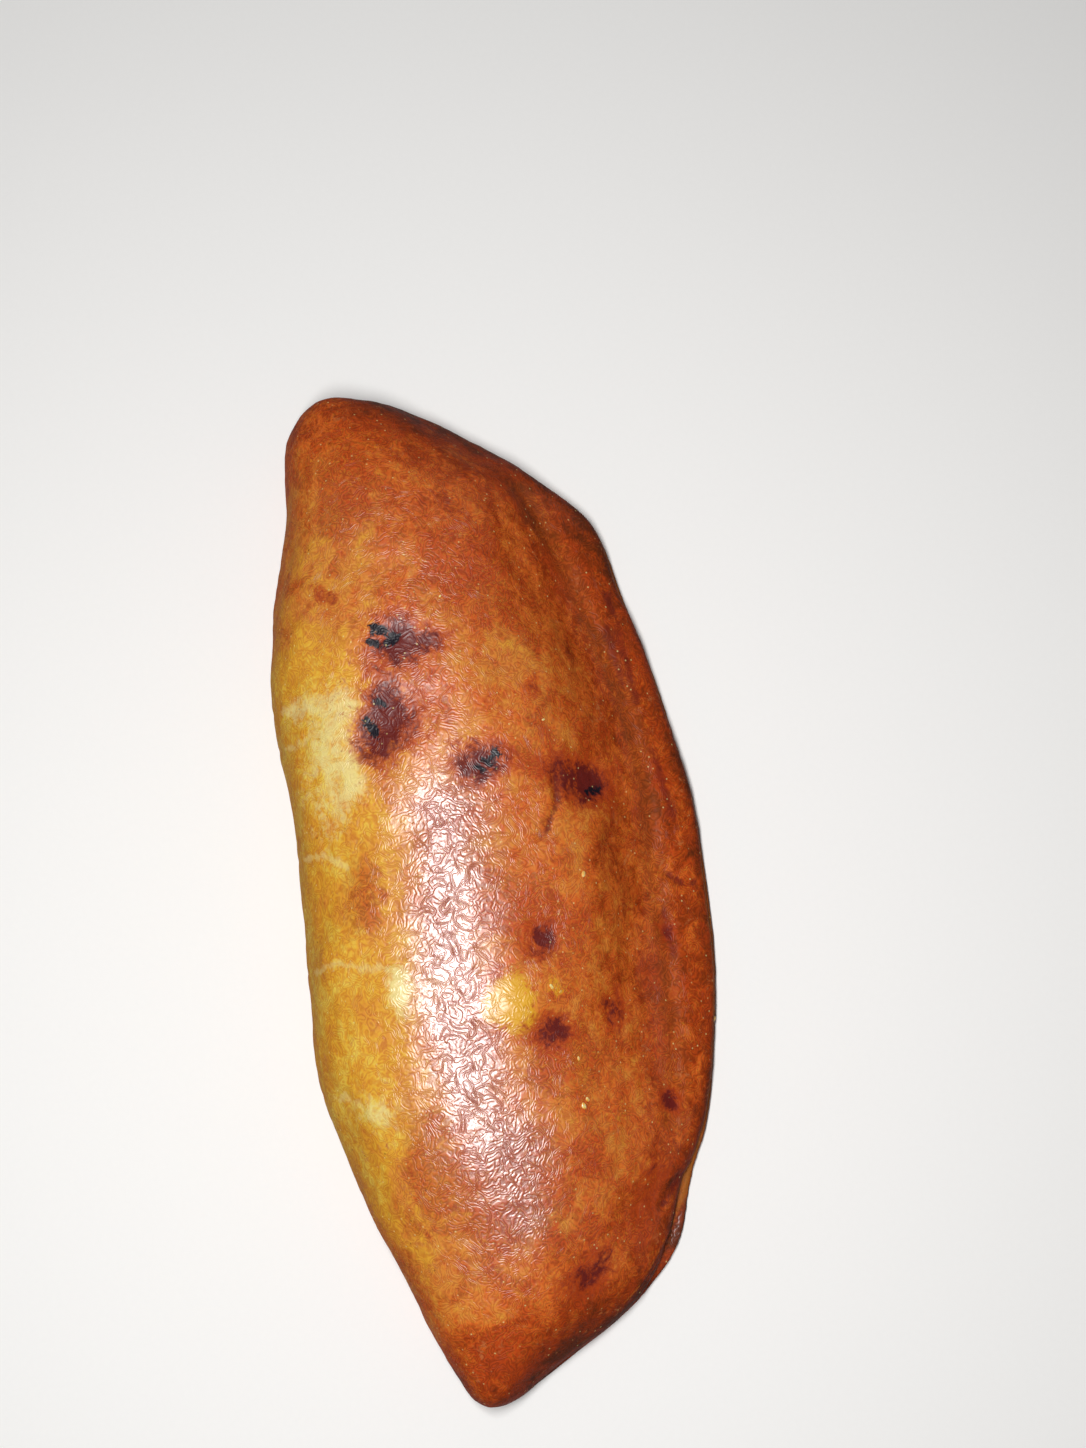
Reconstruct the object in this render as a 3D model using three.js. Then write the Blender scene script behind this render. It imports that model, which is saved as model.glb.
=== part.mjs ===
// A baked turnover: one round of dough folded over its filling and sealed along
// the open side. It lies flat, fold to the back, sealed seam to the front.
//
// Millimetres, +Z up. X runs from tip to tip, Y from the seam (-Y) to the fold
// (+Y), and the origin is the middle of the footprint, on the surface it rests on.
//
// The crust is one solid. It is lofted from ribs: each rib is a cross-section
// that stands on a chord of the plan outline, from a point of the seam edge to
// the matching point of the fold edge. The baked surface is then made uneven.

import * as THREE from "three";
import { ImprovedNoise } from "three/addons/math/ImprovedNoise.js";

// ---- Driving dimensions -------------------------------------------------------

const LENGTH = 160; // tip to tip
const DOME_HEIGHT = 30; // at the ridge's highest point
const HIGHEST_AT = 0.55; // share of the way from the near tip to the far one
const TIP_HEIGHT = 7.5; // dough at the tips
const RIM_HEIGHT = 7; // both layers of dough, pressed together, near their edge
const VALLEY_HEIGHT = 9.2; // top of the rim where it meets the dome
const NOSE_WIDTH = 11; // ribs narrower than this round off above and below
const NOSE_CENTRE = 3.8; // height that the noses close on
const FULL_WIDTH = 46; // ribs narrower than this have a lower and narrower rim
const SLIM_THICKNESS = 0.6; // share of the rim's height that is left at the tips
const EDGE_ROUNDING = 2.8; // width of the rounded edge where no rim was pressed
const LAYER_STEP = 0.3; // how far the lower layer of dough shows past the upper one
const SLIP = 2.4; // how much further it shows where it slipped out
const UNDULATION = 0.7; // how far the baked surface swells and sinks
const UNDULATION_LENGTH = 15; // from one swell to the next
const FINE_SWELLS = 2.3; // how many times more often the fine swells come
const FINE_SHARE = 0.45; // their height, as a share of the broad ones
const FLOOR_FADE = 5; // the surface is even where it meets the base, up to here

const RIBS = 86;
const FIRST_RIB = 0.006; // share of the way at which the first rib stands
const TIP_DENSITY = 0.55; // above 0, ribs stand closer together towards the tips
const POINTS_OVER = 56; // around each rib, from base corner to base corner
const POINTS_UNDER = 6; // across the flat base, between the corners
const RIM_DENSITY = 0.35; // above 0, points stand closer along the rim's small folds

// ---- Plan outline -------------------------------------------------------------
// Both sides run from the near tip (-X) to the far tip (+X). The fold side bulges
// twice with a shallow waist between, and the seam side is a long bow with two
// blunt shoulders.

const NEAR_TIP = [-LENGTH / 2, 12.1];
const FAR_TIP = [LENGTH / 2, 16.6];

const FOLD_SIDE = [
  NEAR_TIP,
  [-78.6, 14.9],
  [-74, 17.3],
  [-60, 22.9],
  [-42, 29],
  [-26, 32.3],
  [-8, 31.9],
  [9, 31.1],
  [28, 32.4],
  [44, 30.8],
  [60, 27],
  [73.5, 25.6],
  [78.6, 22.6],
  FAR_TIP,
];

const SEAM_SIDE = [
  NEAR_TIP,
  [-79, 7.6],
  [-74, -1.8],
  [-66, -14.6],
  [-60.5, -19.7],
  [-52, -22.8],
  [-42, -26.7],
  [-22, -31.2],
  [-3, -32.4],
  [20, -30.4],
  [42, -25.9],
  [54, -22.9],
  [62, -16.4],
  [72, -4],
  [78.2, 7.2],
  FAR_TIP,
];

function planCurve(points) {
  return new THREE.CatmullRomCurve3(
    points.map(([x, y]) => new THREE.Vector3(x, y, 0)),
    false,
    "centripetal",
  );
}

// ---- Cross-section ------------------------------------------------------------
// "share" is how far along a rib stands, from 0 at the near tip to 1 at the far.

// The rim was pressed flat between these shares. It fades in and out over each pair.
const RIM_BEGINS = [0.22, 0.36];
const RIM_ENDS = [0.7, 0.84];

// Where the lower layer slipped out, and over how long a stretch.
const SLIP_AT = 0.205;
const SLIP_SPREAD = 0.05;

// The ridge's curve: the first power keeps it level over the middle, and the second
// makes it round at the tips.
const RIDGE_POWERS = [2.2, 0.8];

// The height of the dome's ridge. It keeps its height over the middle and falls
// away towards both tips.
function ridgeHeight(share) {
  const fromTip = share < HIGHEST_AT ? share / HIGHEST_AT : (1 - share) / (1 - HIGHEST_AT);
  const [level, round] = RIDGE_POWERS;
  const fullness = Math.pow(1 - Math.pow(1 - fromTip, level), round);
  return TIP_HEIGHT + (DOME_HEIGHT - TIP_HEIGHT) * fullness;
}

// How plainly the sealed rim stands out from the dome: 1 where it was pressed flat,
// and 0 towards the tips, where the dome runs straight down to the edge.
function pressed(share) {
  const begun = THREE.MathUtils.smoothstep(share, ...RIM_BEGINS);
  const ended = THREE.MathUtils.smoothstep(share, ...RIM_ENDS);
  return begun * (1 - ended);
}

// The width of the pressed rim, as [share, width]: it waves in and out.
const RIM_WIDTHS = new THREE.SplineCurve(
  [[0, 6], [0.25, 5.6], [0.5, 7.4], [0.62, 5.6], [0.74, 7], [1, 6]].map(
    ([share, width]) => new THREE.Vector2(share, width),
  ),
);

// How far the lower layer of dough shows past the upper one. It slipped out
// at the blunt shoulder near the near tip.
function lowerLayerStep(share) {
  return LAYER_STEP + SLIP * Math.exp(-Math.pow((share - SLIP_AT) / SLIP_SPREAD, 2));
}

// A rib's outline as [distance from the seam edge, height], from the seam's base
// corner over the dome to the fold's base corner, which are both on the ground.
function ribProfile(width, share) {
  const ridge = ridgeHeight(share);
  const slim = Math.min(1, width / FULL_WIDTH);
  const flat = pressed(share);
  const rim = slim * THREE.MathUtils.lerp(EDGE_ROUNDING, RIM_WIDTHS.getPoint(share).y, flat);
  const thick = RIM_HEIGHT * THREE.MathUtils.lerp(SLIM_THICKNESS, 1, slim);
  const step = lowerLayerStep(share) * slim;
  const inside = width - rim - step;
  const edge = (across, up) => [rim * across, thick * up];
  const top = (across, up) => [step + rim * across, thick * up];
  const dome = (across, up) => [step + rim + inside * across, ridge * up];
  const valley = VALLEY_HEIGHT / RIM_HEIGHT;
  const foot = (across, up) => {
    return dome(across, THREE.MathUtils.lerp((valley * thick) / ridge, 1, up));
  };
  const points = [
    edge(0.3, 0),
    edge(0.07, 0.11),
    edge(0, 0.28),
    top(0.08, 0.45), // the line where the two layers meet
    top(0.02, 0.6),
    top(0.1, 0.77),
    top(0.26, 0.93),
    top(0.5, 1.09), // the rim falls away outwards
    top(0.76, 1.22),
    top(1, valley), // the valley at the foot of the dome
    foot(0.045, 0.13 - 0.08 * flat),
    foot(0.09, 0.27 - 0.1 * flat),
    foot(0.15, 0.45 - 0.07 * flat),
    foot(0.215, 0.62 - 0.02 * flat),
    foot(0.29, 0.775),
    foot(0.37, 0.895),
    foot(0.45, 0.965),
    dome(0.55, 1.0),
    dome(0.65, 0.99),
    dome(0.75, 0.945),
    dome(0.84, 0.86),
    dome(0.92, 0.71),
    dome(0.975, 0.53),
    dome(1.0, 0.32),
    dome(0.985, 0.15),
    dome(0.935, 0.04),
    dome(0.885, 0),
  ];
  const curve = new THREE.CatmullRomCurve3(
    points.map(([d, z]) => new THREE.Vector3(d, z, 0)),
    false,
    "centripetal",
  );
  return Array.from({ length: POINTS_OVER }, (_, i) => {
    const even = i / (POINTS_OVER - 1);
    const spaced = curve.getUtoTmapping(even);
    const point = curve.getPoint(THREE.MathUtils.lerp(spaced, even, RIM_DENSITY));
    return [point.x, Math.max(0, point.y)];
  });
}

// One closed ring of points in the part's frame, over the dome and back along
// the base. Near the tips it shrinks towards the nose's centre on all sides.
function rib(seam, fold, share) {
  const width = seam.distanceTo(fold);
  const across = fold.clone().sub(seam).normalize();
  const over = ribProfile(width, share);
  const [foldCorner, seamCorner] = [over[over.length - 1][0], over[0][0]];
  const under = Array.from({ length: POINTS_UNDER }, (_, i) => {
    const back = (i + 1) / (POINTS_UNDER + 1);
    return [foldCorner + (seamCorner - foldCorner) * back, 0];
  });
  const narrow = 1 - Math.min(1, width / NOSE_WIDTH);
  const shrink = Math.sqrt(1 - narrow * narrow);
  return [...over, ...under].map(([d, z]) => {
    const point = seam.clone().addScaledVector(across, d);
    point.z = NOSE_CENTRE + (z - NOSE_CENTRE) * shrink;
    return point;
  });
}

// Ribs stand closer together towards the tips, where the outline turns fast.
function ribShare(index) {
  const even = index / (RIBS - 1);
  const eased = 0.5 - 0.5 * Math.cos(Math.PI * even);
  const spaced = THREE.MathUtils.lerp(even, eased, TIP_DENSITY);
  return THREE.MathUtils.lerp(FIRST_RIB, 1 - FIRST_RIB, spaced);
}

function lofted() {
  const [seamSide, foldSide] = [planCurve(SEAM_SIDE), planCurve(FOLD_SIDE)];
  return Array.from({ length: RIBS }, (_, i) => {
    const share = ribShare(i);
    return rib(seamSide.getPointAt(share), foldSide.getPointAt(share), share);
  });
}

// ---- Solid --------------------------------------------------------------------

function solidOf(rings) {
  const around = rings[0].length;
  const points = rings.flat();
  const faces = [];
  for (let i = 0; i + 1 < rings.length; i++) {
    for (let j = 0; j < around; j++) {
      const a = i * around + j;
      const b = i * around + ((j + 1) % around);
      faces.push(a, a + around, b, b, a + around, b + around);
    }
  }
  for (const [ring, flip] of [[0, false], [rings.length - 1, true]]) {
    const centre = new THREE.Vector3();
    rings[ring].forEach((p) => centre.addScaledVector(p, 1 / around));
    points.push(centre);
    for (let j = 0; j < around; j++) {
      const a = ring * around + j;
      const b = ring * around + ((j + 1) % around);
      faces.push(points.length - 1, ...(flip ? [b, a] : [a, b]));
    }
  }
  const geometry = new THREE.BufferGeometry().setFromPoints(points);
  geometry.setIndex(faces);
  geometry.computeVertexNormals();
  return geometry;
}

// ---- Baked surface ------------------------------------------------------------

// Spots where the crust blistered (height above 0) or sank as it baked, seen from
// above as [x, y, radius, height].
const SPOTS = [
  [34.8, 11.5, 4.5, -0.7],
  [22.5, 15, 5.5, -0.6],
  [14.7, 0.8, 5, -0.8],
  [10.4, -14.4, 5, -0.6],
  [-12.5, -4.7, 4.5, -0.7],
  [-21.3, 0.6, 6, 0.7],
  [-16.8, 17.1, 6.5, 0.8],
  [-34.2, 22.8, 6, 0.6],
  [-62.4, -4.1, 5, -0.7],
  [-39.2, -20.8, 3.5, 0.8],
];

const noise = new ImprovedNoise();
const FINE_OFFSET = new THREE.Vector3(7, 0, 0); // keeps the fine swells off the broad

function undulation(p) {
  const at = p.clone().divideScalar(UNDULATION_LENGTH);
  const broad = noise.noise(at.x, at.y, at.z);
  at.multiplyScalar(FINE_SWELLS).add(FINE_OFFSET);
  const fine = noise.noise(at.x, at.y, at.z);
  return UNDULATION * (broad + FINE_SHARE * fine);
}

function spotHeight(p) {
  return SPOTS.reduce((total, [x, y, radius, height]) => {
    const reach = Math.hypot(p.x - x, p.y - y) / radius;
    return total + height * (1 - THREE.MathUtils.smoothstep(reach, 0, 1));
  }, 0);
}

// Moves each point of the baked surface along its normal. The base stays flat.
function bake(geometry) {
  const position = geometry.getAttribute("position");
  const normal = geometry.getAttribute("normal");
  for (let i = 0; i < position.count; i++) {
    const point = new THREE.Vector3().fromBufferAttribute(position, i);
    const outward = new THREE.Vector3().fromBufferAttribute(normal, i);
    const clear = THREE.MathUtils.smoothstep(point.z, 0, FLOOR_FADE);
    const swell = undulation(point) + spotHeight(point);
    point.addScaledVector(outward, clear * swell);
    position.setXYZ(i, point.x, point.y, point.z);
  }
}

// Puts the middle of the footprint at the origin.
function centre(geometry) {
  geometry.computeBoundingBox();
  const middle = geometry.boundingBox.getCenter(new THREE.Vector3());
  geometry.translate(-middle.x, -middle.y, 0);
}

const crustShape = solidOf(lofted());
bake(crustShape);
centre(crustShape);

const crust = new THREE.Mesh(
  crustShape,
  new THREE.MeshStandardMaterial({ color: 0xc47a35, roughness: 0.42, metalness: 0 }),
);
crust.name = "crust";

const turnover = new THREE.Group();
turnover.add(crust);

export default turnover;
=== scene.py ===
"""A baked turnover on a pale studio floor.

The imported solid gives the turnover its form. This script models the baked crust over
it: lumps, blisters, burnt hollows, cracks, the line between the two layers of dough at
the sealed rim, and the browning. Everything is in metres and in the solid's own frame:
X runs along the length, towards the darker tip, Y from the sealed rim to the fold, and
Z up from the surface that the turnover lies on. Marks on the crust are placed in
millimetres, as seen from straight above.
"""

import math
import random

import bpy
import numpy as np
from bpy.props import FloatProperty, FloatVectorProperty, PointerProperty
from mathutils import Matrix, Vector
from mathutils.bvhtree import BVHTree


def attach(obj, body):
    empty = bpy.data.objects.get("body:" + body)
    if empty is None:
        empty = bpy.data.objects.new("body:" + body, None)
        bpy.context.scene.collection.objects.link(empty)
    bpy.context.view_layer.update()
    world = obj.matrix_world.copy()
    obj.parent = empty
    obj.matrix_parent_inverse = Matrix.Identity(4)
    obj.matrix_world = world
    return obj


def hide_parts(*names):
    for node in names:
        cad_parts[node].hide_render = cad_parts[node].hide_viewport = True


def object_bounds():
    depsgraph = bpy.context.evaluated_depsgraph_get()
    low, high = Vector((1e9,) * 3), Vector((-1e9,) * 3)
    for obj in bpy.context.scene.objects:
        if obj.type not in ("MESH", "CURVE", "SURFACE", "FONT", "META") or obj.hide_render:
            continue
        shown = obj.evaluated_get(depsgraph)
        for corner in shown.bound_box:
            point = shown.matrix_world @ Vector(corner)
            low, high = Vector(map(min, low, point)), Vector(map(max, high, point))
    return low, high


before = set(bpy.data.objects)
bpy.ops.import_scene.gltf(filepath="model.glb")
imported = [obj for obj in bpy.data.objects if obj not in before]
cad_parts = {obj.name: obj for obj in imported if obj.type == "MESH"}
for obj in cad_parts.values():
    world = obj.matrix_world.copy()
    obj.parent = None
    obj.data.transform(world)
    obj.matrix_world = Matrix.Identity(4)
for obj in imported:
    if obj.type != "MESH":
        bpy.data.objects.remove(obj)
CAD_LOW, CAD_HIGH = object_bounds()

bl_info = {
    "name": "Baked turnover",
    "version": (1, 0, 0),
    "blender": (4, 5, 0),
    "location": "3D View > Sidebar > Turnover",
    "description": "Models a baked turnover with a browned, glazed crust over its solid",
    "category": "Mesh",
}

MM = 0.001
SEED = 7


def from_hex(code):
    """The linear colour of a hex colour code, by the sRGB curve."""
    channels = [int(code[i : i + 2], 16) / 255 for i in (0, 2, 4)]
    return [c / 12.92 if c <= 0.04045 else ((c + 0.055) / 1.055) ** 2.4 for c in channels]


# ---- Marks on the crust, in millimetres as seen from above ------------------------
# A patch is (x, y, half length, half width, turn in degrees, strength). It fades out
# from its middle, so that the noise in the material can give it a ragged edge.

# Burnt black.
CHARRED = [
    (36.8, 13.2, 2.8, 1.4, 55, 1.0),
    (35.0, 14.4, 2.2, 1.0, 60, 0.9),
    (35.2, 11.4, 1.8, 1.0, -80, 0.8),
    (22.0, 16.2, 2.4, 1.3, 25, 1.0),
    (26.0, 14.6, 2.4, 1.8, 60, 0.6),
    (14.4, 0.6, 2.6, 1.8, -80, 0.65),
    (15.8, -1.6, 1.8, 1.4, 0, 0.55),
    (9.6, -15.6, 2.4, 1.9, -60, 0.65),
]

# Scorched dark red, around the burnt spots and on their own.
SCORCHED = [
    (34.8, 11.4, 4.6, 4.6, 0, 1.0),
    (34.2, 6.8, 3.0, 4.6, 0, 0.7),
    (25.6, 13.8, 5.0, 3.8, 10, 0.95),
    (20.0, 16.0, 4.4, 3.6, 20, 1.0),
    (22.8, 11.0, 4.0, 4.2, 0, 0.65),
    (14.8, 0.9, 4.0, 5.6, 0, 0.95),
    (10.6, -14.4, 4.6, 5.2, 0, 1.0),
    (12.8, -10.4, 3.4, 2.8, 0, 0.6),
    (26.0, -9.0, 2.0, 1.4, 20, 0.5),
    (-12.4, -4.8, 4.0, 3.4, 0, 0.85),
    (-26.2, -4.2, 3.2, 4.2, 0, 0.85),
    (-23.8, -14.2, 3.8, 2.8, 0, 0.65),
    (44.2, 21.0, 2.8, 1.8, 40, 0.55),
    (-62.2, -4.4, 4.8, 3.0, -60, 0.75),
    (-59.4, -7.8, 2.6, 2.0, 0, 0.5),
    (-38.4, -20.9, 2.8, 1.8, 10, 0.95),
    (-12.6, -24.2, 3.2, 2.0, 10, 0.6),
    (11.4, -26.6, 3.4, 1.9, 12, 0.6),
    (-48.0, -17.4, 3.6, 2.4, 20, 0.45),
    (-53.0, -14.6, 4.2, 3.4, 0, 0.4),
]

# Heated more than the crust around them, and redder.
FLUSHED = [
    (-3.0, 19.8, 5.5, 4.6, 0, 0.9),
    (-45.0, 17.0, 6.5, 3.5, 0, 0.7),
    (-46.0, 6.0, 12.0, 8.0, 0, 0.8),
    (-27.0, 9.0, 12.0, 5.0, 0, 0.7),
    (-3.0, 7.0, 12.0, 5.0, 0, 0.6),
    (-29.0, -5.0, 7.0, 6.0, 0, 0.6),
    (-10.5, -5.0, 7.0, 5.0, 0, 0.6),
    (12.0, -13.0, 8.0, 8.0, 0, 0.5),
    (44.0, 1.0, 9.0, 7.0, 0, 0.7),
    (61.0, 15.0, 6.0, 5.0, 0, 0.8),
    (-72.0, 8.0, 6.0, 5.0, 0, 0.7),
    (-56.0, -11.0, 7.0, 4.0, 30, 0.7),
]

# Where the egg wash lies thickest and shines most.
GLOSSY = [
    (8.0, 6.5, 7.0, 7.0, 0, 1.0),
    (-2.0, 7.5, 8.0, 6.5, 0, 1.0),
    (-12.0, 9.5, 8.0, 6.0, 0, 1.0),
    (-22.0, 9.8, 8.0, 6.0, 0, 1.0),
    (-32.0, 8.5, 8.0, 6.5, 0, 1.0),
    (-42.0, 5.0, 7.0, 6.5, 0, 1.0),
    (-51.0, 3.5, 6.0, 5.0, 0, 0.8),
]

# Hardly browned.
PALE = [
    (-16.8, 17.2, 4.6, 2.0, 0, 1.0),
    (-34.2, 22.8, 3.0, 3.6, 0, 0.55),
    (26.7, 19.6, 2.6, 3.0, 0, 0.6),
    (15.3, 20.3, 3.4, 2.2, 0, 0.75),
    (20.5, 22.6, 8.0, 4.6, 0, 0.7),
    (28.0, 27.0, 3.0, 5.0, 0, 0.4),
    (11.0, 24.0, 6.0, 5.0, 0, 0.35),
]

# Bright yellow, where egg wash pooled.
YELLOW = [
    (-20.6, 0.9, 4.2, 3.6, 0, 1.0),
    (-24.0, -0.2, 2.6, 2.6, 0, 0.8),
    (-19.4, -5.8, 2.4, 2.2, 0, 0.5),
    (-21.5, 3.6, 3.0, 2.6, 0, 0.6),
]

# Fine pale cracks that run up the fold side.
PALE_CRACKS = [
    [(-11.4, 32.0), (-11.7, 27.1), (-12.2, 23.9), (-13.2, 20.8), (-13.9, 18.6)],
    [(29.6, 32.4), (27.7, 26.9), (26.1, 22.1), (26.3, 18.1)],
    [(23.6, 32.4), (22.6, 27.6), (22.9, 25.0)],
    [(6.4, 31.0), (4.4, 25.9), (2.9, 22.8)],
    [(-30.2, 31.6), (-31.2, 27.5), (-33.1, 25.3)],
]

# Dark creases on the slope, across the rim and at the near shoulder: dents, with painted shade
# along them in the dark red of scorched crust.
DARK_CREASES = [
    [(11.5, -10.1), (7.7, -9.7), (4.0, -7.8), (2.6, -6.4)],
    [(-3.2, -25.3), (-4.3, -26.7), (-5.4, -28.2), (-5.3, -29.9)],
    [(-49.5, -21.2), (-53.4, -17.6)],
]

# Red streaks along the pressed rim.
STREAKS = [
    [(42.5, -22.6), (37.9, -23.4), (33.1, -23.9), (29.1, -24.3), (24.5, -24.8)],
    [(36.5, -21.9), (31.5, -22.4), (27.5, -22.9)],
    [(15.8, -26.2), (12.0, -26.8), (8.8, -27.4), (5.4, -28.0)],
    [(-9.2, -24.2), (-12.2, -24.1), (-15.8, -24.9)],
]

# Edge of the upper layer of dough where the lower one slipped out.
LAYER_EDGE = [
    (-44.5, -24.4),
    (-48.4, -22.9),
    (-53.2, -20.8),
    (-58.0, -17.9),
    (-62.0, -15.0),
    (-65.1, -12.6),
    (-67.4, -9.8),
]

# The valley at the foot of the dome, where the sealed rim starts.
VALLEY = [
    (59.9, -11.2),
    (48.3, -16.5),
    (38.7, -19.5),
    (25.1, -23.0),
    (10.0, -24.6),
    (-2.6, -23.8),
    (-16.8, -23.8),
    (-29.1, -23.0),
    (-41.2, -21.0),
]

# Height of the line between the two layers of dough, on the rim's outer wall.
PARTING_HEIGHT = 3.2

# Flakes baked onto the crust, as (x, y, size).
CRUMBS = [
    (-19.5, -5.0, 0.9),
    (-20.4, -6.2, 0.6),
    (-30.4, -7.5, 0.7),
    (-37.4, -7.3, 1.1),
    (-36.5, -8.0, 0.8),
    (-3.3, -12.1, 1.0),
    (-26.5, -29.8, 0.9),
    (20.6, -9.4, 0.6),
    (41.0, 3.5, 0.5),
]

# Browning from fold edge to seam edge, as (share of the way, tone). Tone 0 is raw
# dough and 1 is the darkest crust that isn't scorched.
BROWNING = [
    (0.0, 0.27),
    (0.10, 0.29),
    (0.22, 0.36),
    (0.34, 0.52),
    (0.46, 0.55),
    (0.58, 0.54),
    (0.70, 0.57),
    (0.80, 0.65),
    (0.88, 0.79),
    (0.95, 0.74),
    (1.0, 0.8),
]

# Tone of both ends at the fold edge, and how much the seam edge adds to it.
END_TONE = 0.5
FAR_SEAM_BROWNING = 0.43
NEAR_SEAM_BROWNING = 0.3

# Further browning of the near tip and of both tips, and a darker tone near the floor.
NEAR_TIP_BROWNING = 0.08
TIP_BROWNING = 0.2
LOW_DARKENING = 0.1

# Share of the egg wash that lies outside the glossy places, and the shares that are
# missing on the rim, at the tips and where the crust is scorched or burnt black.
THIN_WASH = 0.26
DRY_RIM = 0.8
DRY_TIP = 0.7
DRY_SCORCH = 0.4
DRY_CHAR = 0.7

# Share of the painted shade of the steep sides that they keep away from the seam.
FOLD_SIDE_SHADE = 0.6


# ---- Zones of the crust -----------------------------------------------------------
# Each is (where it starts, where it is whole), with a smooth change between the two.

# Heights in millimetres: where relief, marks and cracks show, the rim's wall, and where the
# tone darkens near the floor.
RELIEF_ZONE = (0.4, 4.0)
MARK_ZONE = (1.0, 4.0)
CRACK_ZONE = (9.0, 18.0)
WALL_ZONE = (5.8, 4.4)
LOW_ZONE = (9.0, 2.0)

# Places along the length in millimetres. The far end is the one at +X, and what is at
# both tips counts either way.
FAR_END = (26.0, 56.0)
NEAR_END = (-36.0, -64.0)
NEAR_TIP = (-60.0, -76.0)
BOTH_TIPS = (60.0, 79.0)
DRY_TIPS = (56.0, 70.0)
RIM_ENDS = [(-46.0, -36.0), (62.0, 50.0)]
SLIP_ENDS = [(-69.0, -64.0), (-43.0, -49.0)]
WALL_END = (-58.0, -50.0)

# Millimetres past the valley and past the upper layer's edge, towards the seam.
RIM_ZONE = (-3.0, 0.0)
SLIP_ZONE = (0.0, 0.6)

# Shares of the way from the fold edge to the seam edge.
WALL_SIDE = (0.75, 0.9)
SEAM_SIDE = (0.3, 0.7)

# How much the surface faces up, from 0 if upright to 1 if level.
LEVEL = (0.62, 0.97)
# Where the steep sides start and are whole in their painted shade.
STEEP = (0.8, 0.25)
NEARLY_UPRIGHT = (0.55, 0.3)


# ---- Sizes of marks and relief that the panel leaves out --------------------------

# How far relief or colour reaches to each side of a line, in millimetres.
CREASE_REACH = 0.7
CRACK_REACH = 0.6
PARTING_REACH = 0.5
GROOVE_REACH = 1.4
VALLEY_REACH = 2.4

# Waver of the cracks, as (millimetres to each side, radians for each millimetre).
WAVER = [(0.3, 0.9), (0.15, 3.1)]

# How fast a patch fades out from its middle.
PATCH_FALL = 1.2

# Distances to a line are kept up to the first of these, in millimetres. One or the other
# is added to them where a line fades out.
FAR_FROM_LINE = 5
FADED_LINE = 3

# Size of the lumps, of the blisters and of the grain in the burnt hollows.
LUMP_SIZE = 7 * MM
BLISTER_SIZE = 2.2 * MM
BURNT_GRAIN = 1.3 * MM

# Roughness of the burnt hollows as a share of the blisters' height, and depth of the
# pale cracks as a share of the creases' depth.
BURNT_ROUGHNESS = 2.0
CRACK_DEPTH = 0.3

# A flake's grain, and its roughness and the height of its middle as shares of its size.
FLAKE_GRAIN = 0.45 * MM
FLAKE_ROUGHNESS = 0.3
FLAKE_LIFT = 0.12


class TURNOVER_PG_crust(bpy.types.PropertyGroup):
    """Sizes of the crust's relief."""

    grain: FloatProperty(
        name="Face size",
        description="Edge length of the faces that the crust is modelled with",
        default=0.53 * MM,
        unit="LENGTH",
        precision=5,
    )
    lumps: FloatProperty(
        name="Lumps",
        description="Height of the lumps and hollows of the baked surface",
        default=0.55 * MM,
        unit="LENGTH",
        precision=5,
    )
    blisters: FloatProperty(
        name="Blisters",
        description="Height of the small blisters",
        default=0.22 * MM,
        unit="LENGTH",
        precision=5,
    )
    burn_depth: FloatProperty(
        name="Burn depth",
        description="How far the scorched patches have sunk",
        default=0.3 * MM,
        unit="LENGTH",
        precision=5,
    )
    crease_depth: FloatProperty(
        name="Crease depth",
        description="Depth of the dark creases and of the groove along the valley",
        default=0.35 * MM,
        unit="LENGTH",
        precision=5,
    )
    parting_depth: FloatProperty(
        name="Parting depth",
        description="Depth of the line between the two layers, and of the lower one's step",
        default=0.5 * MM,
        unit="LENGTH",
        precision=5,
    )


class TURNOVER_PG_colours(bpy.types.PropertyGroup):
    """Colours of the dough, from raw to burnt, and of its painted shade."""

    cream: FloatVectorProperty(
        name="Cream",
        description="Dough that has hardly browned",
        subtype="COLOR",
        default=from_hex("EADA90"),
    )
    straw: FloatVectorProperty(
        name="Straw",
        description="Palest crust of the fold side",
        subtype="COLOR",
        default=from_hex("E4C04E"),
    )
    golden: FloatVectorProperty(
        name="Golden",
        description="Golden crust of the fold side",
        subtype="COLOR",
        default=from_hex("DC9C2C"),
    )
    amber: FloatVectorProperty(
        name="Amber",
        description="Crust along the ridge",
        subtype="COLOR",
        default=from_hex("D07E30"),
    )
    orange: FloatVectorProperty(
        name="Orange brown",
        description="Crust of the slope towards the seam",
        subtype="COLOR",
        default=from_hex("CA5C1E"),
    )
    russet: FloatVectorProperty(
        name="Russet",
        description="Browned crust of the rim",
        subtype="COLOR",
        default=from_hex("A03A0C"),
    )
    umber: FloatVectorProperty(
        name="Umber",
        description="Darkest browned crust, at the far tip",
        subtype="COLOR",
        default=from_hex("66280A"),
    )
    # Painted shade in the valley at the foot of the dome, in a smooth brown of the dough.
    tan: FloatVectorProperty(
        name="Tan",
        description="Smooth brown dough in the valley at the foot of the dome",
        subtype="COLOR",
        default=from_hex("8E461A"),
    )
    flushed: FloatVectorProperty(
        name="Flushed",
        description="Red-brown of the most heated patches and around burns",
        subtype="COLOR",
        default=from_hex("AC3E12"),
    )
    scorched: FloatVectorProperty(
        name="Scorched",
        description="Dark red-brown of scorched blisters",
        subtype="COLOR",
        default=from_hex("661C16"),
    )
    charred: FloatVectorProperty(
        name="Charred",
        description="Blue-black of the burnt spots",
        subtype="COLOR",
        default=from_hex("14101A"),
    )
    yolk: FloatVectorProperty(
        name="Yolk",
        description="Bright yellow patch where egg wash pooled",
        subtype="COLOR",
        default=from_hex("E0A820"),
    )
    # Painted shade of the steep sides, multiplied over the dough's colour.
    steep_shade: FloatVectorProperty(
        name="Dulled",
        description="Tint of the steep sides, which bake darker and duller",
        subtype="COLOR",
        default=from_hex("C2AE8C"),
    )


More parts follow.
